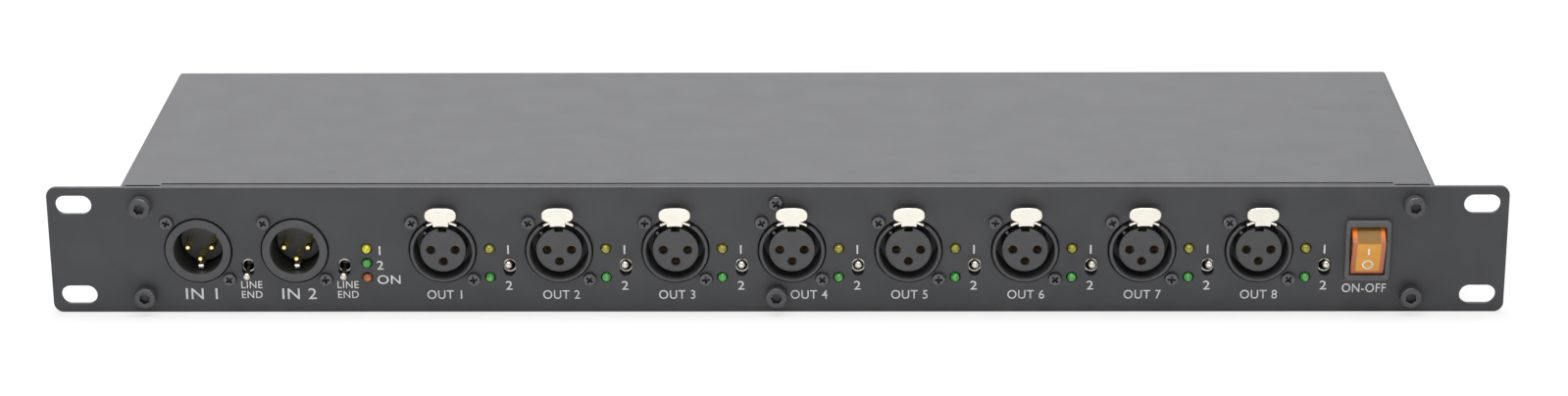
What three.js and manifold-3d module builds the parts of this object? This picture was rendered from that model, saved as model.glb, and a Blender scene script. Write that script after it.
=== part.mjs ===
// Lighting data splitter in a one unit rack case: two inputs, eight outputs, a route toggle
// beside each output, and an illuminated mains rocker.
// Millimetres. X runs to the right seen from the front, Y to the back and Z up.
// Pieces are placed from the front panel's front face (Y = 0) and from its lower edge (Z = 0).

import * as THREE from 'three';
import { mergeVertices } from 'three/addons/utils/BufferGeometryUtils.js';
import Module from 'manifold-3d';

// Driving dimensions

const gap = 0.3;
const midHeight = 22;

// Joined solids reach this far into each other, and a cutter runs this far past a face
const overlap = 0.5;
const past = 1;

const panel = { width: 482.6, height: 44, thick: 1.5, corner: 3.2 };
const rackSlot = { x: 232.5, spacing: 31.75, length: 12, height: 6.5, endRadius: 3.24 };

const chassis = {
  width: 431.4, back: 124.1, sheet: 1.2, lipLength: 14, foldDepth: 2.4,
  reliefX: 203.7, reliefHeight: 2.8, sideFlange: 16,
};
const cover = { width: 434.4, sheet: 1.2, frontGap: 0.4, bend: 0.8 };

const bolt = {
  x: 210, z: 15.8, headRadius: 3.5, headHeight: 4, headEdge: 0.4,
  hexAcross: 3, hexDepth: 2.2, shank: 1.9, length: 12,
};
const centreScrew = { z: 38.5, headRadius: 2.5, headHeight: 1.2, shank: 1.4, length: 9 };
const coverScrew = { y: [34, 98], z: 8.5, headRadius: 2.75, headHeight: 1.4, shank: 1.4, length: 4.6 };

const output = { count: 8, pitch: 38.6, centreX: 24.5, z: 21.8 };
const input = { x: { a: -191.9, b: -159.8 }, z: 21.8 };
const ledOffset = 15.5;
const toggleOffset = 21.95;
const terminationOffset = 16.2;
const ledColumnX = -136;
const ledZ = { upper: 22.4, middle: 17.35, lower: 12.3 };
const toggleZ = 15.85;
const toggleSlot = { width: 4, height: 6.2, endRadius: 1.99 };

const socket = {
  ringRadius: 10.9, ringFront: -1.2, grooveRadius: 9.75, grooveBack: 11, insertRadius: 7.65, insertFront: 0.3,
  bodySize: 24.6, bodyChamfer: 2, bodyFront: 3.4, bodyBack: 23, screwOffset: 10, holeRadius: 11.4,
  channelHalf: 6.6, channelFloor: 8.5, channelRoof: 11.1, channelBack: 12.2,
};
const socketScrew = { headRadius: 2.3, headHeight: 1.3, shank: 1.3 };
const contact = { spread: 4.05, holeRadius: 1.4, holeDepth: 8, pinRadius: 1.2, pinTip: 2.2, tipTaper: 0.8 };
const keyway = { width: 2.8, depth: 1.2 };
const plugCavity = {
  ringRadius: 10.9, ringFront: -0.8, radius: 8.2, back: 14.8, insertRadius: 7.6, insertThick: 3.5,
};

const latch = {
  outerRadius: 10.8, sheet: 0.7, halfAngle: 28, neckHalfAngle: 13.5, stripFront: -1.6, stripBack: 9,
  plateFront: -4.6, plateHalfWidth: 5.2, plateBottom: 11.3, plateTop: 16.3, plateSquareness: 0.72,
  sideShift: [0, 0, 0, 0, 0, 0, 0.4, 0.5],
};

const toggle = {
  bushRadius: 2.5, boreRadius: 1.8, bushFront: 2.1, boreBack: 8.2, pivotY: 4.56, tilt: 15,
  ballRadius: 1.15, tailRadius: 0.6, tailLength: 2.4, neckRadius: 0.75,
  tipRadius: 1.4, tipEdge: 0.7, tipBack: 7.4, neckFront: 4.9, length: 9.4,
  bodyWidth: 6.2, bodyHeight: 12, bodyFront: 6.4, bodyBack: 15.4, spacerWidth: 4.2, spacerHeight: 9,
};

const rocker = {
  x: 195.4, frameWidth: 15, frameHeight: 21, frameCorner: 1.2, frameFront: -1.8,
  bodyWidth: 12.9, bodyHeight: 18.9, bodyBack: 16, windowWidth: 11.6, windowHeight: 17.4, windowBack: 10,
  width: 11, pivotY: 1, pinRadius: 0.9, pinReach: 6.1, endHalf: 8.3, ridgeY: -5, ridgeZ: 3.7,
  lowerEndFront: -1, upperEndFront: -0.5, endBack: 2.5, endTaper: 0.1, keelY: 6, keelHalf: 4,
  bladeZ: [-6, 0, 6], bladeWidth: 4.8, bladeThick: 0.8, bladeLength: 7,
};

const board = { left: -206, right: 184, bottom: 5, top: 39.5, front: 23.3, thick: 1.6 };
const led = { radius: 1.5, domeFront: -1.8, straightFront: -0.7, bodyBack: 3.4, post: 1.2 };
const chip = { width: 10, height: 6.5, thick: 3 };

const supply = {
  left: 92, right: 160, front: 52, back: 112, deckZ: 8, deckThick: 1.6, postRadius: 2.6, postInset: 5,
  transformer: { x: 134, y: 84, width: 36, depth: 32, height: 24 },
  capacitor: { x: 104, radius: 6, height: 18, y: [66, 82] },
};
const inlet = {
  x: 178, flangeWidth: 31, flangeHeight: 25, flangeThick: 2.5,
  bodyWidth: 27, bodyHeight: 19.6, bodyFront: 104,
  recessWidth: 24.4, recessHeight: 16.6, recessDepth: 15.5, bevel: 4.5, pinX: 7, pinRise: 2,
  pinWidth: 2, pinHeight: 4, pinLength: 12, tabThick: 0.8, tabLength: 6,
};
const wire = { radius: 2.2, steps: 10, sides: 6 };

// Solid helpers

const wasm = await Module();
wasm.setup();

const solid = (geometry) => {
  geometry.deleteAttribute('normal');
  geometry.deleteAttribute('uv');
  const merged = mergeVertices(geometry, 1e-4);
  return new wasm.Manifold(new wasm.Mesh({
    numProp: 3,
    vertProperties: new Float32Array(merged.attributes.position.array),
    triVerts: new Uint32Array(merged.index.array),
  }));
};

const joined = (...geometries) => geometries.map(solid).reduce((whole, next) => whole.add(next));
const without = (whole, ...cutters) => cutters.map(solid).reduce((rest, next) => rest.subtract(next), whole);

const geometryOf = (body) => {
  const mesh = body.getMesh();
  const geometry = new THREE.BufferGeometry();
  geometry.setAttribute('position', new THREE.BufferAttribute(mesh.vertProperties, 3));
  geometry.setIndex(new THREE.BufferAttribute(mesh.triVerts, 1));
  geometry.computeVertexNormals();
  return geometry;
};

// Shape helpers: outlines are drawn in X and Z, and rods and turned shapes lie along Y

const radians = THREE.MathUtils.degToRad;

const polygon = (x, z, radius, sides) => Array.from({ length: sides }, (_, i) => {
  const angle = (2 * Math.PI * (i + 0.5)) / sides;
  return new THREE.Vector2(x + radius * Math.sin(angle), z + radius * Math.cos(angle));
});

// A faceted hole whose flats lie outside the clear radius
const hole = (x, z, clearRadius, sides) => polygon(x, z, clearRadius / Math.cos(Math.PI / sides), sides);

const roundedBox = (x, z, width, height, corner, steps) => {
  const points = [];
  const corners = [[1, 1], [-1, 1], [-1, -1], [1, -1]];
  corners.forEach(([sideX, sideZ], quarter) => {
    for (let i = 0; i <= steps; i += 1) {
      const angle = (Math.PI / 2) * (quarter + i / steps);
      points.push(new THREE.Vector2(
        x + sideX * (width / 2 - corner) + corner * Math.cos(angle),
        z + sideZ * (height / 2 - corner) + corner * Math.sin(angle),
      ));
    }
  });
  return points;
};

const extrudedY = (outline, holes, front, back) => {
  const shape = new THREE.Shape(outline);
  shape.holes = holes.map((points) => new THREE.Path(points));
  const geometry = new THREE.ExtrudeGeometry(shape, { depth: back - front, bevelEnabled: false });
  return geometry.rotateX(Math.PI / 2).translate(0, back, 0);
};

const sideToX = new THREE.Matrix4().makeBasis(
  new THREE.Vector3(0, 1, 0),
  new THREE.Vector3(0, 0, 1),
  new THREE.Vector3(1, 0, 0),
);

const extrudedX = (profile, width) => {
  const shape = new THREE.Shape(profile.map(([y, z]) => new THREE.Vector2(y, z)));
  const geometry = new THREE.ExtrudeGeometry(shape, { depth: width, bevelEnabled: false });
  return geometry.applyMatrix4(sideToX).translate(-width / 2, 0, 0);
};

const slab = (x, y, z) => {
  const geometry = new THREE.BoxGeometry(x[1] - x[0], y[1] - y[0], z[1] - z[0]);
  return geometry.translate((x[0] + x[1]) / 2, (y[0] + y[1]) / 2, (z[0] + z[1]) / 2);
};

const rod = (radius, y, sides, x = 0, z = 0) => {
  const geometry = new THREE.CylinderGeometry(radius, radius, y[1] - y[0], sides);
  return geometry.translate(x, (y[0] + y[1]) / 2, z);
};

const turned = (profile, sides, x = 0, z = 0) => {
  const points = profile.map(([radius, y]) => new THREE.Vector2(radius, y));
  return new THREE.LatheGeometry(points, sides).translate(x, 0, z);
};

// Places that repeat along the panel

const outputX = (index) => output.centreX + output.pitch * (index - (output.count - 1) / 2);
const outputs = Array.from({ length: output.count }, (_, index) => ({
  number: index + 1, x: outputX(index), shift: latch.sideShift[index],
}));
const inputs = Object.entries(input.x).map(([letter, x]) => ({ letter, x }));
const toggles = [
  ...outputs.map(({ x }) => x + toggleOffset),
  ...inputs.map(({ x }) => x + terminationOffset),
];
const leds = [
  ...Object.values(ledZ).map((z) => [ledColumnX, z]),
  ...outputs.flatMap(({ x }) => [[x + ledOffset, ledZ.upper], [x + ledOffset, ledZ.lower]]),
];
const sockets = [...inputs.map(({ x }) => [x, input.z]), ...outputs.map(({ x }) => [x, output.z])];
const socketScrews = [[-socket.screwOffset, socket.screwOffset], [socket.screwOffset, -socket.screwOffset]];
const bolts = [[-1, 1], [1, 1], [-1, -1], [0, -1], [1, -1]].map(([sideX, sideZ]) => (
  [sideX * bolt.x, midHeight + sideZ * bolt.z]
));

// The holes that the front panel and the chassis wall behind it share
const deviceHoles = (socketSides) => [
  ...sockets.map(([x, z]) => hole(x, z, socket.holeRadius, socketSides)),
  ...sockets.flatMap(([x, z]) => socketScrews.map(([dx, dz]) => (
    hole(x + dx, z + dz, socketScrew.shank + gap, 6)
  ))),
  ...bolts.map(([x, z]) => hole(x, z, bolt.shank + gap, 6)),
  hole(0, centreScrew.z, centreScrew.shank + gap, 6),
  roundedBox(rocker.x, midHeight, rocker.bodyWidth + 2 * gap, rocker.bodyHeight + 2 * gap, 0.5, 1),
];

// A toggle's bush ends in the wall's round hole, and its lever comes out through the panel's slot
const toggleSlots = toggles.map((x) => roundedBox(
  x, toggleZ, toggleSlot.width, toggleSlot.height, toggleSlot.endRadius, 3,
));
const bushHoles = toggles.map((x) => hole(x, toggleZ, toggle.bushRadius + gap, 8));

// The panel has a round hole for each lamp, and the wall behind it one upright slot for each column
const lampHoles = leds.map(([x, z]) => hole(x, z, led.radius + gap, 6));
const lampSlots = [ledColumnX, ...outputs.map(({ x }) => x + ledOffset)].map((x) => roundedBox(
  x, ledZ.middle, 2 * (led.radius + gap), ledZ.upper - ledZ.lower + 2 * (led.radius + gap), 0.5, 1,
));

const frontPanel = () => {
  const slots = [-1, 1].flatMap((sideX) => [-1, 1].map((sideZ) => roundedBox(
    sideX * rackSlot.x, midHeight + (sideZ * rackSlot.spacing) / 2,
    rackSlot.length, rackSlot.height, rackSlot.endRadius, 3,
  )));
  const outline = roundedBox(0, panel.height / 2, panel.width, panel.height, panel.corner, 4);
  const holes = [...slots, ...deviceHoles(20), ...toggleSlots, ...lampHoles];
  return joined(extrudedY(outline, holes, 0, panel.thick));
};

// Chassis: floor, front wall, back wall and low side flanges, folded from one sheet
const wallFront = panel.thick + gap;
const wallBack = wallFront + chassis.sheet;
const foldBack = wallFront + chassis.foldDepth;
const lipTop = panel.height - cover.sheet - gap;

const chassisTray = () => {
  const backInside = chassis.back - chassis.sheet;
  const half = chassis.width / 2;
  const folded = extrudedX([
    [wallFront, 0],
    [chassis.back, 0],
    [chassis.back, lipTop],
    [chassis.back - chassis.lipLength, lipTop],
    [chassis.back - chassis.lipLength, lipTop - chassis.sheet],
    [backInside, lipTop - chassis.sheet],
    [backInside, chassis.sheet],
    [wallBack, chassis.sheet],
    [wallBack, lipTop - chassis.sheet],
    [wallFront + chassis.lipLength, lipTop - chassis.sheet],
    [wallFront + chassis.lipLength, lipTop],
    [foldBack, lipTop],
    [foldBack, panel.height],
    [wallFront, panel.height],
  ], chassis.width);
  const flanges = [-1, 1].map((side) => slab(
    side > 0 ? [half - chassis.sheet, half] : [-half, chassis.sheet - half],
    [wallFront + overlap, chassis.back - overlap],
    [chassis.sheet / 2, chassis.sideFlange],
  ));
  const reliefs = [-1, 1].map((side) => slab(
    side > 0 ? [chassis.reliefX, half + past] : [-half - past, -chassis.reliefX],
    [0, wallFront + chassis.lipLength + past],
    [panel.height - chassis.reliefHeight, panel.height + past],
  ));
  const holes = [...deviceHoles(12), ...bushHoles, ...lampSlots].map((points) => (
    extrudedY(points, [], wallFront - past, wallBack + past)
  ));
  const inletHole = slab(
    [inlet.x - inlet.bodyWidth / 2 - gap, inlet.x + inlet.bodyWidth / 2 + gap],
    [backInside - past, chassis.back + past],
    [midHeight - inlet.bodyHeight / 2 - gap, midHeight + inlet.bodyHeight / 2 + gap],
  );
  return without(joined(folded, ...flanges), ...reliefs, ...holes, inletHole, ...coverScrewHoles());
};

const coverScrewHoles = () => [-1, 1].flatMap((side) => coverScrew.y.map((y) => {
  const clear = coverScrew.shank + 2 * gap;
  const cutter = new THREE.CylinderGeometry(clear, clear, 2 * coverScrew.length, 6);
  return cutter.rotateZ(Math.PI / 2).translate((side * cover.width) / 2, y, coverScrew.z);
}));

const coverFront = foldBack + cover.frontGap;

const topCover = () => {
  const half = cover.width / 2;
  const inside = half - cover.sheet;
  const outline = [
    [-half, 0], [-half, panel.height], [half, panel.height], [half, 0],
    [inside, 0], [inside, panel.height - cover.sheet], [-inside, panel.height - cover.sheet], [-inside, 0],
  ].map(([x, z]) => new THREE.Vector2(x, z));
  const lipRoom = inside - cover.bend;
  const topEdge = [panel.height - 2 * cover.sheet, panel.height + past];
  const frontEdge = slab([-lipRoom, lipRoom], [0, coverFront], topEdge);
  return without(joined(extrudedY(outline, [], wallFront, chassis.back)), frontEdge, ...coverScrewHoles());
};

// Screws

const panelBolt = () => {
  const head = -gap - bolt.headHeight;
  const body = joined(turned([
    [0, head], [bolt.headRadius - bolt.headEdge, head],
    [bolt.headRadius, head + bolt.headEdge], [bolt.headRadius, -gap],
    [bolt.shank, -gap], [bolt.shank, bolt.length - gap], [0, bolt.length - gap],
  ], 12));
  const hexRadius = bolt.hexAcross / Math.sqrt(3);
  return without(body, extrudedY(polygon(0, 0, hexRadius, 6), [], head - past, head + bolt.hexDepth));
};

const panHead = ({ headRadius, headHeight, shank, length }, sides) => joined(turned([
  [0, -gap - headHeight], [headRadius * 0.6, -gap - headHeight], [headRadius, -gap - headHeight / 2],
  [headRadius, -gap], [shank, -gap], [shank, length], [0, length],
], sides));

// Sockets: the block behind the panel, the ring or collar that shows, and the two fixing screws

const socketBlock = (ringRadius, ringFront) => {
  const half = socket.bodySize / 2;
  const flat = half - socket.bodyChamfer;
  const outline = [
    [half, flat], [flat, half], [-flat, half], [-half, flat],
    [-half, -flat], [-flat, -half], [flat, -half], [half, -flat],
  ].map(([x, z]) => new THREE.Vector2(x, z));
  const screws = socketScrews.flatMap(([x, z]) => [
    rod(socketScrew.headRadius, [-gap - socketScrew.headHeight, -gap], 8, x, z),
    rod(socketScrew.shank, [-gap - overlap, socket.bodyFront + overlap], 6, x, z),
  ]);
  return joined(
    extrudedY(outline, [], socket.bodyFront, socket.bodyBack),
    rod(ringRadius, [ringFront, socket.bodyFront + overlap], 20),
    ...screws,
  );
};

const contactPlaces = [[-contact.spread, 0], [contact.spread, 0], [0, -contact.spread]];

const outputSocket = () => {
  const holes = contactPlaces.map(([x, z]) => rod(
    contact.holeRadius, [socket.insertFront - past, socket.insertFront + contact.holeDepth], 6, x, z,
  ));
  const notch = slab(
    [-keyway.width / 2, keyway.width / 2],
    [socket.insertFront - past, socket.grooveBack],
    [socket.insertRadius - keyway.depth, socket.insertRadius + past],
  );
  const carrier = rod(socket.insertRadius, [socket.insertFront, socket.grooveBack + overlap], 16);
  const insert = without(joined(carrier), ...holes, notch);
  const channel = slab(
    [-socket.channelHalf, socket.channelHalf],
    [socket.ringFront - past, socket.channelBack],
    [socket.channelFloor, socket.channelRoof],
  );
  const groove = rod(socket.grooveRadius, [socket.ringFront - past, socket.grooveBack], 20);
  return without(socketBlock(socket.ringRadius, socket.ringFront), groove, channel).add(insert);
};

const inputSocket = () => without(
  socketBlock(plugCavity.ringRadius, plugCavity.ringFront),
  rod(plugCavity.radius, [plugCavity.ringFront - past, plugCavity.back], 20),
);

const inputInsert = () => {
  const back = plugCavity.back - gap;
  const front = back - plugCavity.insertThick;
  const pins = contactPlaces.map(([x, z]) => turned([
    [0, contact.pinTip], [contact.pinRadius * 0.6, contact.pinTip],
    [contact.pinRadius, contact.pinTip + contact.tipTaper],
    [contact.pinRadius, front + overlap], [0, front + overlap],
  ], 8, x, z));
  return joined(rod(plugCavity.insertRadius, [front, back], 16), ...pins);
};

// Latch tab: a bent strip that slides in the ring's top slot, with an upright thumb plate
const latchTab = () => {
  const arc = (halfAngle, front, back) => {
    const steps = 4;
    const side = (radius, direction) => Array.from({ length: steps + 1 }, (_, i) => {
      const angle = direction * radians(halfAngle) * (1 - (2 * i) / steps);
      return new THREE.Vector2(radius * Math.sin(angle), radius * Math.cos(angle));
    });
    const points = [...side(latch.outerRadius, 1), ...side(latch.outerRadius - latch.sheet, -1)];
    return extrudedY(points, [], front, back);
  };
  const plateBack = latch.plateFront + latch.sheet;
  const middle = (latch.plateTop + latch.plateBottom) / 2;
  const halfHeight = (latch.plateTop - latch.plateBottom) / 2;
  const oval = Array.from({ length: 14 }, (_, i) => {
    const angle = (2 * Math.PI * (i + 0.5)) / 14;
    const squared = (value) => Math.sign(value) * Math.abs(value) ** latch.plateSquareness;
    const side = latch.plateHalfWidth * squared(Math.cos(angle));
    return new THREE.Vector2(side, middle + halfHeight * squared(Math.sin(angle)));
  });
  const neckHalf = latch.outerRadius * Math.sin(radians(latch.neckHalfAngle));
  return joined(
    arc(latch.halfAngle, latch.stripFront, latch.stripBack),
    arc(latch.neckHalfAngle, latch.plateFront, latch.stripFront + overlap),
    extrudedY(oval, [], latch.plateFront, plateBack),
    slab([-neckHalf, neckHalf], [latch.plateFront, plateBack], [latch.outerRadius - overlap, middle]),
  );
};

// Toggle switches: the body with its bush, and the lever with the ball that it turns on

const toggleBody = () => {
  const block = (width, height, y) => slab([-width / 2, width / 2], y, [-height / 2, height / 2]);
  const body = joined(
    block(toggle.bodyWidth, toggle.bodyHeight, [toggle.bodyFront, toggle.bodyBack]),
    block(toggle.spacerWidth, toggle.spacerHeight, [toggle.bodyBack - overlap, socket.bodyBack]),
    rod(toggle.bushRadius, [toggle.bushFront, toggle.bodyFront + overlap], 10),
  );
  return without(body, rod(toggle.boreRadius, [toggle.bushFront - past, toggle.boreBack], 10));
};

const toggleLever = () => joined(turned([
  [0, -toggle.length],
  [toggle.tipRadius * 0.6, -toggle.length],
  [toggle.tipRadius, toggle.tipEdge - toggle.length],
  [toggle.tipRadius, -toggle.tipBack],
  [toggle.neckRadius, -toggle.neckFront],
  [toggle.neckRadius, -toggle.ballRadius],
  [toggle.ballRadius, 0],
  [toggle.tailRadius, toggle.ballRadius],
  [toggle.tailRadius, toggle.tailLength],
  [0, toggle.tailLength],
], 8));

// Mains rocker: the snap-in frame with its blades, and the lens that tips on two side pins

const rockerPin = (radius, reach) => (
  new THREE.CylinderGeometry(radius, radius, 2 * reach, 10).rotateZ(Math.PI / 2)
);

const rockerFrame = () => {
  const box = (width, height, y) => slab([-width / 2, width / 2], y, [-height / 2, height / 2]);
  const flange = roundedBox(0, 0, rocker.frameWidth, rocker.frameHeight, rocker.frameCorner, 3);
  const blades = rocker.bladeZ.map((z) => slab(
    [-rocker.bladeWidth / 2, rocker.bladeWidth / 2],
    [rocker.bodyBack - overlap, rocker.bodyBack + rocker.bladeLength],
    [z - rocker.bladeThick / 2, z + rocker.bladeThick / 2],
  ));
  return without(
    joined(
      extrudedY(flange, [], rocker.frameFront, -gap),
      box(rocker.bodyWidth, rocker.bodyHeight, [-gap - overlap, rocker.bodyBack]),
      ...blades,
    ),
    box(rocker.windowWidth, rocker.windowHeight, [rocker.frameFront - past, rocker.windowBack]),
    rockerPin(rocker.pinRadius + gap, rocker.frameWidth / 2 + past).translate(0, rocker.pivotY, 0),
  );
};

// The lens turns about its pivot and is drawn in the off position: its lower end is pressed in
const rockerLens = () => joined(
  extrudedX([
    [rocker.lowerEndFront, -rocker.endHalf],
    [rocker.endBack, rocker.endTaper - rocker.endHalf],
    [rocker.keelY, -rocker.keelHalf],
    [rocker.keelY, rocker.keelHalf],
    [rocker.endBack, rocker.endHalf - rocker.endTaper],
    [rocker.upperEndFront, rocker.endHalf],
    [rocker.ridgeY, rocker.ridgeZ],
  ], rocker.width).translate(0, -rocker.pivotY, 0),
  rockerPin(rocker.pinRadius, rocker.pinReach),
);

// Inside: the upright signal board with its lamps and chips, the supply, the inlet and the leads

const signalBoard = () => {
  const back = board.front + board.thick;
  const lamps = leds.flatMap(([x, z]) => [
    turned([
      [0, led.domeFront], [led.radius, led.straightFront], [led.radius, led.bodyBack], [0, led.bodyBack],
    ], 6, x, z),
    slab(
      [x - led.post / 2, x + led.post / 2],
      [led.bodyBack - overlap, board.front + overlap],
      [z - led.post / 2, z + led.post / 2],
    ),
  ]);
  const chips = sockets.map(([x]) => slab(
    [x - chip.width / 2, x + chip.width / 2], [back - overlap, back + chip.thick],
    [midHeight - chip.height / 2, midHeight + chip.height / 2],
  ));
  return joined(
    slab([board.left, board.right], [board.front, back], [board.bottom, board.top]),
    ...lamps,
    ...chips,
  );
};

const upright = (radius, x, y, z, sides) => {
  const geometry = new THREE.CylinderGeometry(radius, radius, z[1] - z[0], sides).rotateX(Math.PI / 2);
  return geometry.translate(x, y, (z[0] + z[1]) / 2);
};

const powerSupply = () => {
  const { left, right, front, back, deckZ, deckThick, transformer, capacitor } = supply;
  const deckTop = deckZ + deckThick;
  const inset = supply.postInset;
  const posts = [left + inset, right - inset].flatMap((x) => [front + inset, back - inset].map((y) => (
    upright(supply.postRadius, x, y, [chassis.sheet + gap, deckZ + overlap], 8)
  )));
  const core = slab(
    [transformer.x - transformer.width / 2, transformer.x + transformer.width / 2],
    [transformer.y - transformer.depth / 2, transformer.y + transformer.depth / 2],
    [deckTop - overlap, deckTop + transformer.height],
  );
  const capacitors = capacitor.y.map((y) => (
    upright(capacitor.radius, capacitor.x, y, [deckTop - overlap, deckTop + capacitor.height], 12)
  ));
  return joined(slab([left, right], [front, back], [deckZ, deckTop]), core, ...posts, ...capacitors);
};

const mainsInlet = () => {
  const flangeFront = chassis.back + gap;
  const rear = flangeFront + inlet.flangeThick;
  const [side, top] = [inlet.recessWidth / 2, inlet.recessHeight / 2];
  const recess = [
    [side, -top], [side, top - inlet.bevel], [side - inlet.bevel, top],
    [inlet.bevel - side, top], [-side, top - inlet.bevel], [-side, -top],
  ].map(([x, z]) => new THREE.Vector2(x, z));
  const pins = [[-inlet.pinX, 0], [0, inlet.pinRise], [inlet.pinX, 0]].flatMap(([x, z]) => [
    slab(
      [x - inlet.pinWidth / 2, x + inlet.pinWidth / 2],
      [rear - inlet.recessDepth - overlap, rear - inlet.recessDepth + inlet.pinLength],
      [z - inlet.pinHeight / 2, z + inlet.pinHeight / 2],
    ),
    slab(
      [x - inlet.tabThick / 2, x + inlet.tabThick / 2],
      [inlet.bodyFront - inlet.tabLength, inlet.bodyFront + overlap],
      [z - inlet.pinHeight / 2, z + inlet.pinHeight / 2],
    ),
  ]);
  const shell = without(
    joined(
      extrudedY(roundedBox(0, 0, inlet.flangeWidth, inlet.flangeHeight, 2, 3), [], flangeFront, rear),
      slab(
        [-inlet.bodyWidth / 2, inlet.bodyWidth / 2],
        [inlet.bodyFront, flangeFront + overlap],
        [-inlet.bodyHeight / 2, inlet.bodyHeight / 2],
      ),
    ),
    extrudedY(recess, [], rear - inlet.recessDepth, rear + past),
  );
  return pins.map(solid).reduce((whole, pin) => whole.add(pin), shell);
};

const lead = (points) => {
  const path = new THREE.CatmullRomCurve3(points.map(([x, y, z]) => new THREE.Vector3(x, y, z)));
  const section = new THREE.Shape(polygon(0, 0, wire.radius, wire.sides));
  const settings = { steps: wire.steps, extrudePath: path, bevelEnabled: false };
  return joined(new THREE.ExtrudeGeometry(section, settings));
};

const mainsLead = () => {
  const start = inlet.bodyFront - inlet.tabLength - gap;
  const end = rocker.bodyBack + rocker.bladeLength + gap;
  return lead([
    [inlet.x, start, midHeight],
    [inlet.x, start - 14, midHeight],
    [rocker.x - 6, (start + end) / 2, 12],
    [rocker.x, end + 12, midHeight],
    [rocker.x, end, midHeight],
  ]);
};

const supplyLead = () => {
  const deckEdge = supply.front - gap;
  const boardBack = board.front + board.thick + gap;
  return lead([
    [112, deckEdge, supply.deckZ + 0.8],
    [112, deckEdge - 8, supply.deckZ + 0.8],
    [102, boardBack + 8, 12],
    [102, boardBack, 12],
  ]);
};

// Materials

const finish = (color, roughness, metalness = 0) => (
  new THREE.MeshStandardMaterial({ color, roughness, metalness })
);
const blackPaint = finish(0x4b4c50, 0.5, 0.2);
const blackPlastic = finish(0x3c3d40, 0.45);
const blackSteel = finish(0x2e2f31, 0.4, 0.8);
const nickel = finish(0xd8d4c8, 0.2, 1);
const gold = finish(0xd2a84a, 0.3, 1);
const orangeLens = finish(0xdd8a2a, 0.2);
const boardGreen = finish(0x2c6b3f, 0.5);
const supplyGrey = finish(0x6a6a66, 0.6);
const leadSleeve = finish(0x2a2a2c, 0.6);

// Assembly

const unit = new THREE.Group();

const place = (name, body, material, x = 0, y = 0, z = 0, turn = 0) => {
  const mesh = new THREE.Mesh(geometryOf(body), material);
  mesh.name = name;
  mesh.position.set(x, y, z);
  mesh.rotation.x = turn;
  unit.add(mesh);
  return mesh;
};

place('front_panel', frontPanel(), blackPaint);
place('chassis_tray', chassisTray(), blackPaint);
place('top_cover', topCover(), blackPaint);

const tiltUp = -radians(toggle.tilt);
outputs.forEach(({ number, x, shift }) => {
  place(`output_socket_${number}`, outputSocket(), blackPlastic, x, 0, output.z);
  place(`latch_tab_${number}`, latchTab(), nickel, x + shift, 0, output.z);
  place(`route_switch_${number}`, toggleBody(), nickel, x + toggleOffset, 0, toggleZ);
  place(`route_lever_${number}`, toggleLever(), nickel, x + toggleOffset, toggle.pivotY, toggleZ, tiltUp);
});

inputs.forEach(({ letter, x }) => {
  place(`input_socket_${letter}`, inputSocket(), blackPlastic, x, 0, input.z);
  place(`input_insert_${letter}`, inputInsert(), gold, x, 0, input.z);
  const switchX = x + terminationOffset;
  place(`termination_switch_${letter}`, toggleBody(), nickel, switchX, 0, toggleZ);
  place(`termination_lever_${letter}`, toggleLever(), nickel, switchX, toggle.pivotY, toggleZ, -tiltUp);
});

place('power_switch_frame', rockerFrame(), blackPlastic, rocker.x, 0, midHeight);
place('power_rocker', rockerLens(), orangeLens, rocker.x, rocker.pivotY, midHeight);

place('signal_board', signalBoard(), boardGreen);
place('power_supply', powerSupply(), supplyGrey);
place('mains_inlet', mainsInlet(), blackPlastic, inlet.x, 0, midHeight);
place('mains_lead', mainsLead(), leadSleeve);
place('supply_lead', supplyLead(), leadSleeve);

bolts.forEach(([x, z], index) => place(`panel_bolt_${index + 1}`, panelBolt(), blackSteel, x, 0, z));
place('panel_screw', panHead(centreScrew, 10), blackSteel, 0, 0, centreScrew.z);

const coverSide = cover.width / 2;
[-1, 1].flatMap((side) => coverScrew.y.map((y) => [side, y])).forEach(([side, y], index) => {
  const name = `cover_screw_${index + 1}`;
  const screw = place(name, panHead(coverScrew, 8), blackSteel, side * coverSide, y, coverScrew.z);
  screw.rotation.z = (side * Math.PI) / 2;
});

// The origin stands below the middle of the whole unit's footprint
const splitter = new THREE.Group();
splitter.add(unit);
const bounds = new THREE.Box3().setFromObject(splitter, true);
unit.position.y = -(bounds.min.y + bounds.max.y) / 2;

export default splitter;
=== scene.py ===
import math

import bmesh
import bpy
from mathutils import Matrix, Vector


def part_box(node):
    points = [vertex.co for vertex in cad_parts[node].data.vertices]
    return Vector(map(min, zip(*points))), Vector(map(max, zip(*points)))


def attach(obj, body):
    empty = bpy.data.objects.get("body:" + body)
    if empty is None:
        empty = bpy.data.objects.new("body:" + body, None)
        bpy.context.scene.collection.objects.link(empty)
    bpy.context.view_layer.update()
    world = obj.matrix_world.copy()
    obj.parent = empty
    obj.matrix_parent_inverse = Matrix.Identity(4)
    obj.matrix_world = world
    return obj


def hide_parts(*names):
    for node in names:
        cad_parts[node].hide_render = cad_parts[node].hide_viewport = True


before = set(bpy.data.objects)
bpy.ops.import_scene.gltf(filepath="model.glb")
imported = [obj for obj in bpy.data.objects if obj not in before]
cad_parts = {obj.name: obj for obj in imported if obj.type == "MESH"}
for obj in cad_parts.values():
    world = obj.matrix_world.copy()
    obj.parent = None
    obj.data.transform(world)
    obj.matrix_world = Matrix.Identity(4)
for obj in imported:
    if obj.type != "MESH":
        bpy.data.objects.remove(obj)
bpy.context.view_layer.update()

# A one unit rack splitter for lighting data. Every size is in metres, written in millimetres.
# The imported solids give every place: a piece is drawn about the middle of the solid that it
# stands for, and its heights are counted forward from the front panel's face.
mm = 0.001
scene = bpy.context.scene
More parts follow.
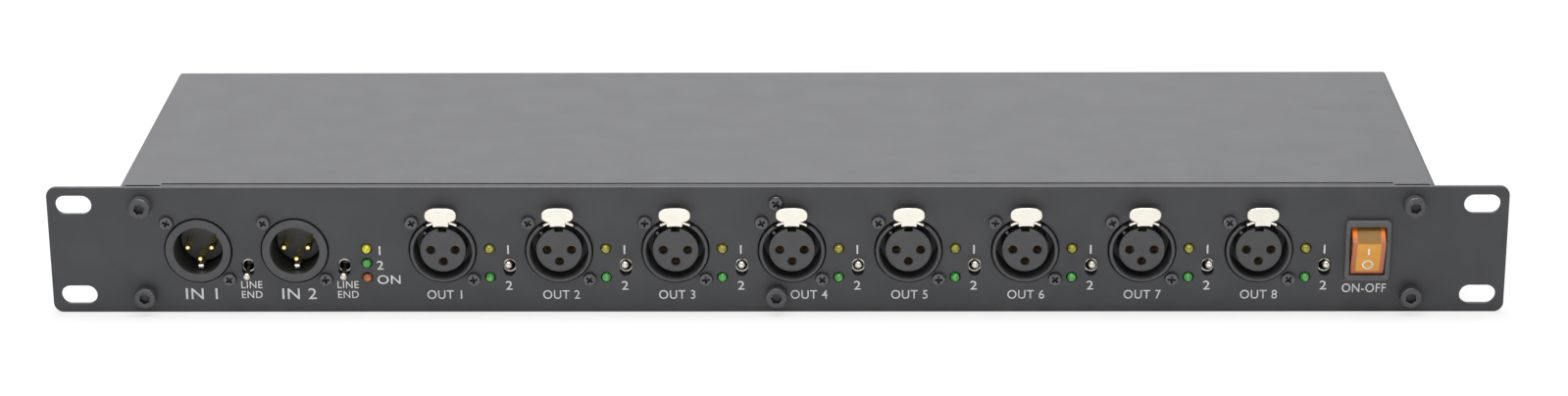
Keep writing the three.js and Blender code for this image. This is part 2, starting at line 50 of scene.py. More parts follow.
panel_low, panel_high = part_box("front_panel")
face = panel_low.y
middle = (panel_low.z + panel_high.z) / 2


# Camera
# It stands a little over a metre in front of the panel and looks down on it, as the
# photographer's did. Its place comes from the panel's corners, bolts and sockets.
camera = bpy.data.objects.new("camera", bpy.data.cameras.new("camera"))
scene.collection.objects.link(camera)
scene.camera = camera
camera.data.sensor_width = 36
camera.data.lens = 87
camera.data.clip_start = 10 * mm
camera_place = Vector((20.7 * mm, face - 1176.36 * mm, 459.6 * mm))
pitch, yaw, roll = (math.radians(angle) for angle in (19.62, 0.878, 0.343))
camera.matrix_world = (
    Matrix.Translation(camera_place)
    @ Matrix.Rotation(yaw, 4, "Z")
    @ Matrix.Rotation(math.pi / 2 - pitch, 4, "X")
    @ Matrix.Rotation(-roll, 4, "Z")
)


# Studio
# The unit stands on a white table in a white room. A long soft lamp lies low in front of it and
# throws soft shadows up the panel, and two large ones above and behind it light the cover. The
# room shows its full white to the eye and in gloss, and lights the unit with a tenth of it.
def lamp(name, place, target, size, power):
    light = bpy.data.lights.new(name, "AREA")
    light.shape = "RECTANGLE"
    light.size, light.size_y = size
    light.energy = power
    holder = bpy.data.objects.new(name, light)
    scene.collection.objects.link(holder)
    turn = (Vector(target) - Vector(place)).to_track_quat("-Z", "Y")
    holder.matrix_world = Matrix.Translation(place) @ turn.to_matrix().to_4x4()


def feed(owner, socket, source):
    """Links a socket to a source, or sets it to a plain value."""
    if hasattr(source, "is_linked"):
        owner.node_tree.links.new(source, socket)
    else:
        socket.default_value = source


def add_node(owner, kind, links=(), **values):
    """A node of a material or a world, with its settings and what goes into its sockets."""
    node = owner.node_tree.nodes.new(kind)
    for name, value in values.items():
        setattr(node, name, value)
    for socket, source in dict(links).items():
        feed(owner, node.inputs[socket], source)
    return node


def wire(owner, shader, **sources):
    """Feeds the sockets of a shader, each by its name."""
    for name, source in sources.items():
        label = name.replace("_", " ").title().replace("Ior", "IOR")
        feed(owner, shader.inputs[label], source)


def start_material(name):
    """A new material, its shader, and the coordinates of the piece that it is on."""
    material = bpy.data.materials.new(name)
    material.use_nodes = True
    shader = material.node_tree.nodes["Principled BSDF"]
    place = add_node(material, "ShaderNodeTexCoord").outputs["Object"]
    return material, shader, place


scene.view_settings.view_transform = "Standard"
lamp("lamp_front", (-0.1, -0.9, 0.05), (0, face, 0.03), (0.8, 0.06), 1.6)
lamp("lamp_above", (0, 0.05, 1.4), (0, 0.04, 0), (1.4, 0.8), 32)
lamp("lamp_behind", (-0.4, 1.9, 1.1), (0, 0, 0.04), (2.4, 1.0), 14)

room = bpy.data.worlds.new("white_room")
room.use_nodes = True
scene.world = room
room_fill, room_seen = 0.1, 1.0
rays = add_node(room, "ShaderNodeLightPath").outputs
seen = rays["Is Camera Ray"]
for kind in ("Is Glossy Ray", "Is Transmission Ray"):
    either = add_node(room, "ShaderNodeMath", {0: seen, 1: rays[kind]}, operation="MAXIMUM")
    seen = either.outputs[0]
room_level = add_node(room, "ShaderNodeMapRange", {
    "Value": seen, "To Min": room_fill, "To Max": room_seen,
})
wire(
    room, room.node_tree.nodes["Background"],
    color=(1, 1, 1, 1), strength=room_level.outputs["Result"],
)

table_mesh = bpy.data.meshes.new("table")
table_shape = bmesh.new()
table_half, table_gap = 4, 0.2 * mm
bmesh.ops.create_grid(table_shape, x_segments=1, y_segments=1, size=table_half)
bmesh.ops.translate(table_shape, verts=table_shape.verts, vec=(0, 0, -table_gap))
table_shape.to_mesh(table_mesh)
table_shape.free()
table = bpy.data.objects.new("table", table_mesh)
scene.collection.objects.link(table)

table_white, table_paint = start_material("table_white")[:2]
wire(
    table_white, table_paint, base_color=(0.86, 0.86, 0.86, 1), roughness=0.9, specular_ior_level=0,
)
table_shine = 0.74
table_glow = add_node(table_white, "ShaderNodeEmission", {"Color": (1, 1, 1, 1)})
table_seen = add_node(table_white, "ShaderNodeLightPath").outputs["Is Camera Ray"]
table_share = add_node(table_white, "ShaderNodeMath", {
    0: table_seen, 1: table_shine,
}, operation="MULTIPLY")
table_mix = add_node(table_white, "ShaderNodeMixShader", {
    "Fac": table_share.outputs[0], 1: table_paint.outputs["BSDF"], 2: table_glow.outputs["Emission"],
})
table_end = table_white.node_tree.nodes["Material Output"]
feed(table_white, table_end.inputs["Surface"], table_mix.outputs["Shader"])
table_mesh.materials.append(table_white)


# Chassis tray
# Folded from one steel sheet: floor, front wall, back wall and low side flanges, powder coated
# in the same dark grey as the panel and the cover, with a faint grain and specks of dust. The
# fold along its top stops short of the cover, which leaves a dark line between them.
def grain(material, place, size, detail=2):
    """Noise from 0 to 1 whose lumps are about size across."""
    noise = add_node(material, "ShaderNodeTexNoise", {
        "Vector": place, "Scale": 1 / size, "Detail": detail,
    })
    return noise.outputs["Fac"]


def shades(material, factor, dark, light, low=0.3, high=0.7):
    """A colour between dark and light, as factor goes from low to high."""
    ramp = add_node(material, "ShaderNodeValToRGB", {"Fac": factor})
    for element, place, colour in zip(ramp.color_ramp.elements, (low, high), (dark, light)):
        element.position = place
        element.color = (*colour, 1)
    return ramp.outputs["Color"]


def blended(material, factor, under, over):
    """One colour over another, as much of it as factor says."""
    mix = add_node(material, "ShaderNodeMix", {0: factor, 6: under, 7: over}, data_type="RGBA")
    return mix.outputs[2]


def level(material, factor, low, high):
    """A number between low and high, as factor goes from 0.3 to 0.7."""
    node = add_node(material, "ShaderNodeMapRange", {
        "Value": factor, "From Min": 0.3, "From Max": 0.7, "To Min": low, "To Max": high,
    })
    return node.outputs["Result"]


def roughen(material, shader, height, depth, strength=1.0):
    """Lets a pattern stand out of a finish by depth."""
    bump = add_node(material, "ShaderNodeBump", {
        "Height": height, "Distance": depth, "Strength": strength,
    })
    feed(material, shader.inputs["Normal"], bump.outputs["Normal"])


def dark_paint(name):
    """Powder coat with a faint grain, and here and there a pale speck of dust."""
    material, shader, place = start_material(name)
    tone = grain(material, place, 14 * mm)
    base = shades(material, tone, (0.060, 0.061, 0.065), (0.070, 0.071, 0.075))
    speck_pitch, speck_size, speck_edge = 5 * mm, 0.02, 0.035
    cells = add_node(material, "ShaderNodeTexVoronoi", {"Vector": place, "Scale": 1 / speck_pitch})
    near = add_node(material, "ShaderNodeMapRange", {
        "Value": cells.outputs["Distance"], "From Min": speck_size, "From Max": speck_edge,
        "To Min": 1, "To Max": 0,
    })
    pick = add_node(material, "ShaderNodeMapRange", {
        "Value": grain(material, place, 9 * mm, 0), "From Min": 0.52, "From Max": 0.62,
    })
    dust = add_node(material, "ShaderNodeMath", {
        0: near.outputs["Result"], 1: pick.outputs["Result"],
    }, operation="MULTIPLY")
    wire(
        material, shader, specular_ior_level=0.2,
        base_color=blended(material, dust.outputs[0], base, (0.16, 0.16, 0.165, 1)),
        roughness=level(material, grain(material, place, 0.5 * mm), 0.40, 0.48),
    )
    roughen(material, shader, grain(material, place, 0.22 * mm, 3), 0.02 * mm, 0.8)
    return material


case_paint = dark_paint("case_paint")
weld = 0.001 * mm


def from_solid(node):
    """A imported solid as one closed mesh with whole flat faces, ready to have its edges worked."""
    shape = bmesh.new()
    shape.from_mesh(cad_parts[node].data)
    bmesh.ops.remove_doubles(shape, verts=shape.verts, dist=weld)
    bmesh.ops.dissolve_limit(
        shape, angle_limit=math.radians(0.5), verts=shape.verts, edges=shape.edges,
    )
    return shape


def ease(shape, width, segments=2, over=0.0):
    """Rounds the sharp edges that are longer than over."""
    corner = math.radians(25)
    sharp = [
        edge for edge in shape.edges
        if edge.is_manifold and edge.calc_face_angle() > corner and edge.calc_length() > over
    ]
    bmesh.ops.bevel(
        shape, geom=sharp, offset=width, offset_type="OFFSET", affect="EDGES",
        segments=segments, profile=0.5, material=-1, clamp_overlap=True,
    )
    return shape


def flat_areas(shape):
    """For every face the area of the flat region that it belongs to."""
    shape.faces.index_update()
    flat = math.radians(0.3)
    areas = {}
    for start in shape.faces:
        if start.index in areas:
            continue
        region, waiting = {start.index: start}, [start]
        while waiting:
            for edge in waiting.pop().edges:
                if not edge.is_manifold or edge.calc_face_angle() > flat:
                    continue
                for side in edge.link_faces:
                    if side.index not in region:
                        region[side.index] = side
                        waiting.append(side)
        area = sum(side.calc_area() for side in region.values())
        areas.update(dict.fromkeys(region, area))
    return areas


def shade(shape):
    """Smooth faces that break at every corner and round every large flat region."""
    least_turn, most_turn, larger = 1, 32, 12
    areas = flat_areas(shape)
    for side in shape.faces:
        side.smooth = True
    for edge in shape.edges:
        if not edge.is_manifold:
            continue
        turn = math.degrees(edge.calc_face_angle())
        small, large = sorted(areas[side.index] for side in edge.link_faces)
        edge.smooth = turn < least_turn or (turn < most_turn and large < larger * small)


def add_piece(name, shape, finishes, at=None, body="root", stands_for=()):
    """Puts a shape in the scene and on its body, with its middle at a place on the panel's face."""
    if at is not None:
        bmesh.ops.translate(shape, verts=shape.verts, vec=(at[0], face, at[1]))
    shade(shape)
    mesh = bpy.data.meshes.new(name)
    shape.to_mesh(mesh)
    shape.free()
    for finish in finishes:
        mesh.materials.append(finish)
    holder = bpy.data.objects.new(name, mesh)
    scene.collection.objects.link(holder)
    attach(holder, body)
    if stands_for:
        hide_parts(*stands_for)


tray = ease(from_solid("chassis_tray"), 0.25 * mm, over=12 * mm)
fold_height, fold_start, fold_end, fold_short = 43 * mm, 3.5 * mm, 4.4 * mm, 1 * mm
fold_back = [
    vert for vert in tray.verts
    if vert.co.z > fold_height and fold_start < vert.co.y - face < fold_end
]
bmesh.ops.translate(tray, verts=fold_back, vec=(0, -fold_short, 0))
add_piece("chassis_sheet", tray, [case_paint], stands_for=["chassis_tray"])


# Front panel
# A flat aluminium plate, powder coated, with four slots for the rack's screws and a hole for
# each socket, switch and lamp. Its edges are broken only slightly.
def circle(x, z, radius, points=48):
    """The outline of a round hole."""
    turns = [2 * math.pi * i / points for i in range(points)]
    return [(x + radius * math.cos(turn), z + radius * math.sin(turn)) for turn in turns]


def rounded(x, z, width, height, corner, points=10):
    """The outline of an upright rectangle with round corners."""
    outline = []
    for quarter, (side_x, side_z) in enumerate([(1, 1), (-1, 1), (-1, -1), (1, -1)]):
        for i in range(points + 1):
            turn = math.pi / 2 * (quarter + i / points)
            outline.append((
                x + side_x * (width / 2 - corner) + corner * math.cos(turn),
                z + side_z * (height / 2 - corner) + corner * math.sin(turn),
            ))
    return outline


def flat_shape(curve, least):
    """The shape of a flat curve or a text, which is used up. Points closer than least are merged."""
    holder = bpy.data.objects.new(curve.name, curve)
    scene.collection.objects.link(holder)
    bpy.context.view_layer.update()
    mesh = bpy.data.meshes.new_from_object(holder)
    shape = bmesh.new()
    shape.from_mesh(mesh)
    bpy.data.objects.remove(holder)
    bpy.data.curves.remove(curve)
    bpy.data.meshes.remove(mesh)
    bmesh.ops.remove_doubles(shape, verts=shape.verts, dist=least)
    return shape


def cut_plate(outline, holes, back, front, edge=0.1 * mm, steps=2):
    """A plate with an outline and holes, between two heights before the face, its edges rounded."""
    curve = bpy.data.curves.new("outline", "CURVE")
    curve.dimensions = "2D"
    curve.fill_mode = "BOTH"
    curve.extrude = (front - back) / 2 - edge
    curve.bevel_depth = edge
    curve.bevel_resolution = steps
    curve.offset = -edge
    for points in [outline] + [hole[::-1] for hole in holes]:
        spline = curve.splines.new("POLY")
        spline.points.add(len(points) - 1)
        for point, (x, z) in zip(spline.points, points):
            point.co = (x, z, 0, 1)
        spline.use_cyclic_u = True
    shape = flat_shape(curve, 0.0005 * mm)
    upright = Matrix.Translation((0, -(front + back) / 2, 0)) @ Matrix.Rotation(math.pi / 2, 4, "X")
    bmesh.ops.transform(shape, matrix=upright, verts=shape.verts)
    bmesh.ops.recalc_face_normals(shape, faces=shape.faces)
    return shape


def middle_of(node):
    """Where the middle of a solid lies, across and up."""
    low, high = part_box(node)
    return (low.x + high.x) / 2, (low.z + high.z) / 2


outputs = [middle_of(f"output_socket_{number}") for number in range(1, 9)]
inputs = [middle_of(f"input_socket_{letter}") for letter in "ab"]
toggles = [middle_of(f"route_switch_{number}") for number in range(1, 9)]
toggles += [middle_of(f"termination_switch_{letter}") for letter in "ab"]
rocker_place = middle_of("power_switch_frame")

lamp_side = 15.5 * mm
lamp_heights = [22.4 * mm, 17.35 * mm, 12.3 * mm]
lamp_column = -136 * mm
lamps = [(lamp_column, z, colour) for z, colour in zip(lamp_heights, ("lemon", "green", "orange"))]
for x, z in outputs:
    lamps += [(x + lamp_side, lamp_heights[0], "yellow"), (x + lamp_side, lamp_heights[2], "green")]

lamp_gap = 0.3 * mm
socket_radius, socket_hole = 10.9 * mm, 11.35 * mm
toggle_slot = (4 * mm, 6.2 * mm, 1.99 * mm)
lamp_radius = 1.5 * mm
window_size = (13.5 * mm, 19.5 * mm)
slot_size = (12 * mm, 6.5 * mm)
slot_aside, slot_rise = 232.5 * mm, 15.875 * mm
slot_places = [
    (side_x * slot_aside, middle + side_z * slot_rise) for side_x in (-1, 1) for side_z in (-1, 1)
]
panel_holes = [rounded(x, z, *slot_size, slot_size[1] / 2 - 0.01 * mm) for x, z in slot_places]
panel_holes += [circle(x, z, socket_hole, 96) for x, z in outputs + inputs]
panel_holes += [rounded(x, z, *toggle_slot, 12) for x, z in toggles]
panel_holes += [circle(x, z, lamp_radius + lamp_gap, 32) for x, z, colour in lamps]
panel_holes.append(rounded(*rocker_place, *window_size, 0.5 * mm, 4))
panel_size = panel_high - panel_low
panel_corner, panel_edge = 3.2 * mm, 0.14 * mm
panel_outline = rounded(0, middle, panel_size.x, panel_size.z, panel_corner, 16)
panel_plate = cut_plate(panel_outline, panel_holes, -panel_size.y, 0, panel_edge)
panel_paint = dark_paint("panel_paint")
add_piece(
    "panel_plate", panel_plate, [panel_paint], at=(0, 0), stands_for=["front_panel"],
)


# Marks
# Thin white ink on the panel: a number for each socket, for both ways of a toggle and for the
# lamps beside the inputs, and short usual words, all capitals, in a plain face.
def white_ink():
    material, shader, place = start_material("white_ink")
    tone = grain(material, place, 0.4 * mm)
    wire(
        material, shader, roughness=0.6,
        base_color=shades(material, tone, (0.62, 0.62, 0.61), (0.78, 0.78, 0.77)),
    )
    roughen(material, shader, grain(material, place, 0.2 * mm), 0.01 * mm)
    return material


ink = white_ink()
ink_depth = 0.03 * mm


def rotate(shape, angle, axis):
    """Turns a shape about one of the panel's axes."""
    bmesh.ops.rotate(shape, verts=shape.verts, matrix=Matrix.Rotation(angle, 3, axis))


def print_mark(name, words, x, z, cap, align="CENTER", stretch=1.14):
    """Capitals and numbers of height cap, whose middle line is at z."""
    text = bpy.data.curves.new(name, "FONT")
    text.body = words
    text.align_x = align
    text.space_character = 1.08
    text.extrude = 0.5
    text.offset = 0.004
    shape = flat_shape(text, 0.0001)
    foot = min(vert.co.y for vert in shape.verts)
    head = max(vert.co.y for vert in shape.verts)
    scale = cap / (head - foot)
    bmesh.ops.translate(shape, verts=shape.verts, vec=(0, -(head + foot) / 2, 0.5))
    bmesh.ops.scale(shape, verts=shape.verts, vec=(scale * stretch, scale, ink_depth))
    rotate(shape, math.pi / 2, "X")
    bmesh.ops.recalc_face_normals(shape, faces=shape.faces)
    add_piece(name, shape, [ink], at=(x, z))


small_cap, input_cap, termination_cap = 3.1 * mm, 3.85 * mm, 2.5 * mm
output_row, input_row, power_row = 6.15 * mm, 6.5 * mm, 8.4 * mm
route_rows = (("upper", "1", 22.1 * mm), ("lower", "2", 9.4 * mm))
termination_rows = (("upper", "LINE", 9.7 * mm), ("lower", "END", 6.2 * mm))
lamp_rows = (("1", 21.8 * mm), ("2", 16.6 * mm), ("ON", 11.5 * mm))
beside_bolt = 5.6 * mm
for number, (x, z) in enumerate(outputs, 1):
    aside = beside_bolt if number == 4 else 0.4 * mm
    print_mark(f"mark_output_{number}", f"OUT {number}", x + aside, output_row, small_cap, stretch=0.93)
for number, (x, z) in enumerate(inputs, 1):
    print_mark(f"mark_input_{number}", f"IN {number}", x + 0.7 * mm, input_row, input_cap)
for number, (x, z) in enumerate(toggles[:8], 1):
    for row, words, height in route_rows:
        print_mark(f"mark_route_{number}_{row}", words, x - 0.3 * mm, height, small_cap)
for letter, (x, z) in zip("ab", toggles[8:]):
    for row, words, height in termination_rows:
        name = f"mark_termination_{letter}_{row}"
        print_mark(name, words, x + 0.9 * mm, height, termination_cap, stretch=0.95)
for number, (words, height) in enumerate(lamp_rows, 1):
    print_mark(f"mark_lamp_{number}", words, lamp_column + 3.1 * mm, height, small_cap, "LEFT")
print_mark("mark_power", "ON-OFF", rocker_place[0] - 0.6 * mm, power_row, small_cap, stretch=0.87)


# Signal board and its lamps
# A green circuit board stands behind the panel. Its nineteen lamps are tinted epoxy domes that
# look out through the panel's holes, and a driver chip sits behind each socket.
def turned(profile, segments=48, x=0.0, z=0.0):
    """Spins a profile of (radius, height before the face) points about the panel's normal."""
    shape = bmesh.new()
    verts = [shape.verts.new((radius, -out, 0)) for radius, out in profile]
    edges = [shape.edges.new(pair) for pair in zip(verts, verts[1:])]
    bmesh.ops.spin(
        shape, geom=verts + edges, cent=(0, 0, 0), axis=(0, 1, 0), dvec=(0, 0, 0),
        angle=2 * math.pi, steps=segments, use_merge=True,
    )
    bmesh.ops.remove_doubles(shape, verts=shape.verts, dist=weld)
    bmesh.ops.recalc_face_normals(shape, faces=shape.faces)
    bmesh.ops.translate(shape, verts=shape.verts, vec=(x, 0, z))
    return shape


def quarter_round(radius, out, size, steps=5):
    """Profile points of a rounded outer corner, from the front face round to the side."""
    turns = [math.pi / 2 * i / steps for i in range(steps + 1)]
    return [
        (radius - size + size * math.sin(turn), out - size + size * math.cos(turn)) for turn in turns
    ]


def about(place, half):
    """The limits of what reaches equally far to both sides of a place."""
    return place - half, place + half


def box(x, out, z):
    """A block between pairs of limits: across, forward of the face, and up."""
    shape = bmesh.new()
    bmesh.ops.create_cube(shape, size=1)
    size = (x[1] - x[0], out[1] - out[0], z[1] - z[0])
    bmesh.ops.scale(shape, verts=shape.verts, vec=size)
    spot = ((x[0] + x[1]) / 2, -(out[0] + out[1]) / 2, (z[0] + z[1]) / 2)
    bmesh.ops.translate(shape, verts=shape.verts, vec=spot)
    return shape


def together(*parts):
    """One shape of several, each in the finish whose number is given, or in its own for None."""
    whole = bmesh.new()
    for shape, finish in parts:
        for side in shape.faces:
            side.material_index = side.material_index if finish is None else finish
        mesh = bpy.data.meshes.new("part")
        shape.to_mesh(mesh)
        shape.free()
        whole.from_mesh(mesh)
        bpy.data.meshes.remove(mesh)
    return whole


def tinted_epoxy(name, dark, light):
    """The clouded, coloured epoxy of an unlit lamp."""
    material, shader, place = start_material(name)
    wire(
        material, shader,
        base_color=shades(material, grain(material, place, 1.1 * mm), dark, light),
        roughness=level(material, grain(material, place, 0.4 * mm), 0.14, 0.24),
        transmission_weight=0.25, subsurface_weight=0.4, coat_weight=0.5, coat_roughness=0.1,
    )
    shader.inputs["Subsurface Radius"].default_value = (0.6 * mm, 0.6 * mm, 0.3 * mm)
    shader.inputs["Subsurface Scale"].default_value = 1
    return material


def moulded(name, dark, light, roughness=(0.35, 0.5)):
    """Plastic with the fine texture of its mould."""
    material, shader, place = start_material(name)
    wire(
        material, shader,
        base_color=shades(material, grain(material, place, 5 * mm), dark, light),
        roughness=level(material, grain(material, place, 0.8 * mm), *roughness),
    )
    roughen(material, shader, grain(material, place, 0.25 * mm, 3), 0.012 * mm)
    return material


lamp_tints = {
    "lemon": tinted_epoxy("lemon_epoxy", (0.66, 0.63, 0.012), (0.94, 0.90, 0.04)),
    "yellow": tinted_epoxy("yellow_epoxy", (0.30, 0.26, 0.012), (0.52, 0.48, 0.04)),
    "green": tinted_epoxy("green_epoxy", (0.055, 0.33, 0.05), (0.13, 0.60, 0.12)),
    "orange": tinted_epoxy("orange_epoxy", (0.38, 0.10, 0.016), (0.66, 0.23, 0.07)),
}
lamp_back = -3.4 * mm
lamp_profile = [(0, 1.8 * mm), (0.5 * mm, 1.72 * mm), (0.95 * mm, 1.42 * mm), (1.28 * mm, 1.0 * mm)]
lamp_profile += [(1.46 * mm, 0.5 * mm), (lamp_radius, 0), (lamp_radius, lamp_back), (0, lamp_back)]
for number, (x, z, colour) in enumerate(lamps, 1):
    dome = turned(lamp_profile, 32)
    add_piece(f"lamp_{number}", dome, [lamp_tints[colour]], at=(x, z))


def laminate():
    """Green solder mask over a woven board."""
    material, shader, place = start_material("green_laminate")
    weave = add_node(material, "ShaderNodeTexWave", {
        "Vector": place, "Scale": 0.35 / mm, "Distortion": 1,
    })
    wire(
        material, shader, coat_weight=0.4, roughness=0.35,
        base_color=shades(material, weave.outputs["Fac"], (0.012, 0.07, 0.03), (0.02, 0.11, 0.045)),
    )
    roughen(material, shader, weave.outputs["Fac"], 0.02 * mm)
    return material


chip_black = moulded("chip_black", (0.012, 0.012, 0.013), (0.025, 0.025, 0.027), (0.5, 0.65))
green_laminate = laminate()
board_back, board_front = -24.9 * mm, -23.3 * mm
chip_half, chip_height, chip_rise = 5 * mm, 3 * mm, (18.75 * mm, 25.25 * mm)
leg_half = 0.6 * mm
board_outline = rounded(-11 * mm, 22.25 * mm, 390 * mm, 34.5 * mm, 1 * mm, 4)
board_holes = [circle(x, 36 * mm, 1.6 * mm, 24) for x in (-200 * mm, -30 * mm, 178 * mm)]
board_parts = [(cut_plate(board_outline, board_holes, board_back, board_front, 0.05 * mm), 0)]
for x, z in inputs + outputs:
    chip = box(about(x, chip_half), (board_back - chip_height, board_back), chip_rise)
    board_parts.append((ease(chip, 0.3 * mm), 1))
for x, z, colour in lamps:
    leg = box(about(x, leg_half), (board_front, lamp_back), about(z, leg_half))
    board_parts.append((leg, 1))
add_piece(
    "circuit_board", together(*board_parts), [green_laminate, chip_black],
    at=(0, 0), stands_for=["signal_board"],
)


# Power supply
# A fibre board on four hexagonal brass spacers carries the mains transformer, wound on its steel
# core, and two capacitors in plain blue sleeves.
def metal(name, dark, light, roughness, depth=0.004 * mm, metallic=1.0):
    """A metal or a metal coat whose colour and gloss vary a little."""
    material, shader, place = start_material(name)
    wire(
        material, shader, metallic=metallic,
        base_color=shades(material, grain(material, place, 3 * mm), dark, light),
        roughness=level(material, grain(material, place, 0.6 * mm), *roughness),
    )
    roughen(material, shader, grain(material, place, 0.15 * mm, 3), depth)
    return material


def rod(radius, length, segments=24):
    """An upright rod about the middle."""
    shape = bmesh.new()
    bmesh.ops.create_cone(
        shape, cap_ends=True, segments=segments, radius1=radius, radius2=radius, depth=length,
    )
    return shape


def post(radius, x, out, z, segments):
    """An upright rod between two heights."""
    shape = rod(radius, z[1] - z[0], segments)
    bmesh.ops.translate(shape, verts=shape.verts, vec=(x, -out, (z[0] + z[1]) / 2))
    return shape


fibre_board = moulded("fibre_board", (0.10, 0.055, 0.02), (0.16, 0.09, 0.035))
core_steel = metal("core_steel", (0.09, 0.09, 0.095), (0.16, 0.16, 0.165), (0.45, 0.6))
tape = moulded("winding_tape", (0.45, 0.30, 0.04), (0.55, 0.38, 0.06))
blue_sleeve = moulded("blue_sleeve", (0.015, 0.03, 0.12), (0.02, 0.045, 0.17), (0.2, 0.3))
spacer_brass = metal("spacer_brass", (0.42, 0.30, 0.13), (0.55, 0.40, 0.18), (0.3, 0.4))
supply_low, supply_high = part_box("power_supply")
deck_low, deck_high, floor_top = 8 * mm, 9.6 * mm, 1.25 * mm
spacer_inset, spacer_radius, capacitor_radius, capacitor_top = 5 * mm, 2.6 * mm, 6 * mm, 27.6 * mm
supply_x = (supply_low.x, supply_high.x)
supply_out = (face - supply_high.y, face - supply_low.y)
supply_parts = [(ease(box(supply_x, supply_out, (deck_low, deck_high)), 0.2 * mm), 0)]
for x in (supply_x[0] + spacer_inset, supply_x[1] - spacer_inset):
    for out in (supply_out[0] + spacer_inset, supply_out[1] - spacer_inset):
        supply_parts.append((post(spacer_radius, x, out, (floor_top, deck_low), 6), 4))
core = ease(box((116 * mm, 152 * mm), (-95 * mm, -73 * mm), (deck_high, 33.6 * mm)), 0.4 * mm)
winding = ease(box((121 * mm, 147 * mm), (-100 * mm, -68 * mm), (deck_high, 29 * mm)), 3 * mm, 4)
supply_parts += [(core, 1), (winding, 2)]
for out in (-66 * mm, -82 * mm):
    capacitor = post(capacitor_radius, 104 * mm, out, (deck_high, capacitor_top), 32)
    supply_parts.append((ease(capacitor, 0.7 * mm, 3), 3))
supply_finishes = [fibre_board, core_steel, tape, blue_sleeve, spacer_brass]
add_piece(
    "supply_board", together(*supply_parts), supply_finishes,
    at=(0, 0), stands_for=["power_supply"],
)


# Leads
# Two sleeved leads: the mains from the inlet's tabs to the rocker's, and the supply's to the
# signal board. Their solids already have their shape, so they only get a woven sleeve.
def woven_sleeve():
    material, shader, place = start_material("woven_sleeve")
    strands = add_node(material, "ShaderNodeTexWave", {
        "Vector": place, "Scale": 0.5 / mm, "Distortion": 2, "Detail": 1,
    }, bands_direction="DIAGONAL")
    pattern = strands.outputs["Fac"]
    wire(
        material, shader, roughness=0.7,
        base_color=shades(material, pattern, (0.012, 0.012, 0.013), (0.035, 0.035, 0.038)),
    )
    roughen(material, shader, pattern, 0.1 * mm)
    return material


sleeve = woven_sleeve()
for lead in ("mains_lead", "supply_lead"):
    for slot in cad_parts[lead].material_slots:
        slot.material = sleeve


# Mains inlet
# A black moulded inlet is snapped into the back wall. Its recess has two cut corners and three
# flat nickel pins, whose tabs stick out inside for the lead.
black_plastic = moulded("black_plastic", (0.028, 0.028, 0.030), (0.040, 0.040, 0.042))
nickel = metal("bright_nickel", (0.86, 0.83, 0.76), (0.93, 0.90, 0.84), (0.22, 0.32))
inlet_low, inlet_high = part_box("mains_inlet")
inlet_rear = face - inlet_high.y
inlet_place = middle_of("mains_inlet")
recess_side, recess_top, recess_cut = 12.2 * mm, 8.3 * mm, 4.5 * mm
recess_deep = inlet_rear + 15.5 * mm
recess = [
    (recess_side, -recess_top), (recess_side, recess_top - recess_cut),
    (recess_side - recess_cut, recess_top), (recess_cut - recess_side, recess_top),
    (-recess_side, recess_top - recess_cut), (-recess_side, -recess_top),
]
flange_outline = rounded(0, 0, 31 * mm, 25 * mm, 2 * mm)
flange_out = inlet_rear + 2.8 * mm
inlet_flange = cut_plate(flange_outline, [recess], inlet_rear, flange_out, 0.5 * mm, 3)
tube_outline = rounded(0, 0, 27 * mm, 19.6 * mm, 0.8 * mm)
inlet_tube = cut_plate(tube_outline, [recess], flange_out, recess_deep, 0.05 * mm)
tab_end = face - inlet_low.y
tab_start = tab_end - 6 * mm
inlet_foot = box(about(0, 13.5 * mm), (recess_deep, tab_start), about(0, 9.8 * mm))
inlet_parts = [(inlet_flange, 0), (inlet_tube, 0), (ease(inlet_foot, 0.4 * mm), 0)]
for x, z in ((-7 * mm, 0), (0, 2 * mm), (7 * mm, 0)):
    pin = box(about(x, mm), (recess_deep - 12 * mm, recess_deep), about(z, 2 * mm))
    tab = box(about(x, 0.4 * mm), (tab_start, tab_end), about(z, 2 * mm))
    inlet_parts += [(ease(pin, 0.5 * mm, 3), 1), (ease(tab, 0.1 * mm), 1)]
add_piece(
    "inlet_shell", together(*inlet_parts), [black_plastic, nickel],
    at=inlet_place, stands_for=["mains_inlet"],
)


# Panel bolts and the middle screw
# Five socket cap bolts of blacked steel hold the panel, their heads knurled round the side, with
# painted shade there and in the hexagon. One small cross-head screw does so above the fourth
# output, where a bolt's head would meet the latch.
def carved(shape, *cutters):
    """The shape with every cutter taken out of it."""
    holders = []
    for form in (shape, *cutters):
        mesh = bpy.data.meshes.new("form")
        form.to_mesh(mesh)
        form.free()
        holders.append(bpy.data.objects.new("form", mesh))
        scene.collection.objects.link(holders[-1])
    body, *tools = holders
    for tool in tools:
        cut = body.modifiers.new("cut", "BOOLEAN")
        cut.operation = "DIFFERENCE"
        cut.solver = "EXACT"
        cut.object = tool
    bpy.context.view_layer.update()
    whole = body.evaluated_get(bpy.context.evaluated_depsgraph_get())
    result = bmesh.new()
    result.from_mesh(whole.to_mesh())
    whole.to_mesh_clear()
    for holder in holders:
        mesh = holder.data
        bpy.data.objects.remove(holder)
        bpy.data.meshes.remove(mesh)
    return result


def line_hollow(shape, radius, heights, finish, x=0.0, z=0.0):
    """Gives the walls and the floor of a hollow a finish of their own, for painted shade."""
    low, high = heights
    for side in shape.faces:
        spot = side.calc_center_median()
        if math.hypot(spot.x - x, spot.z - z) < radius and low - 0.1 * mm < -spot.y < high:
            side.material_index = finish
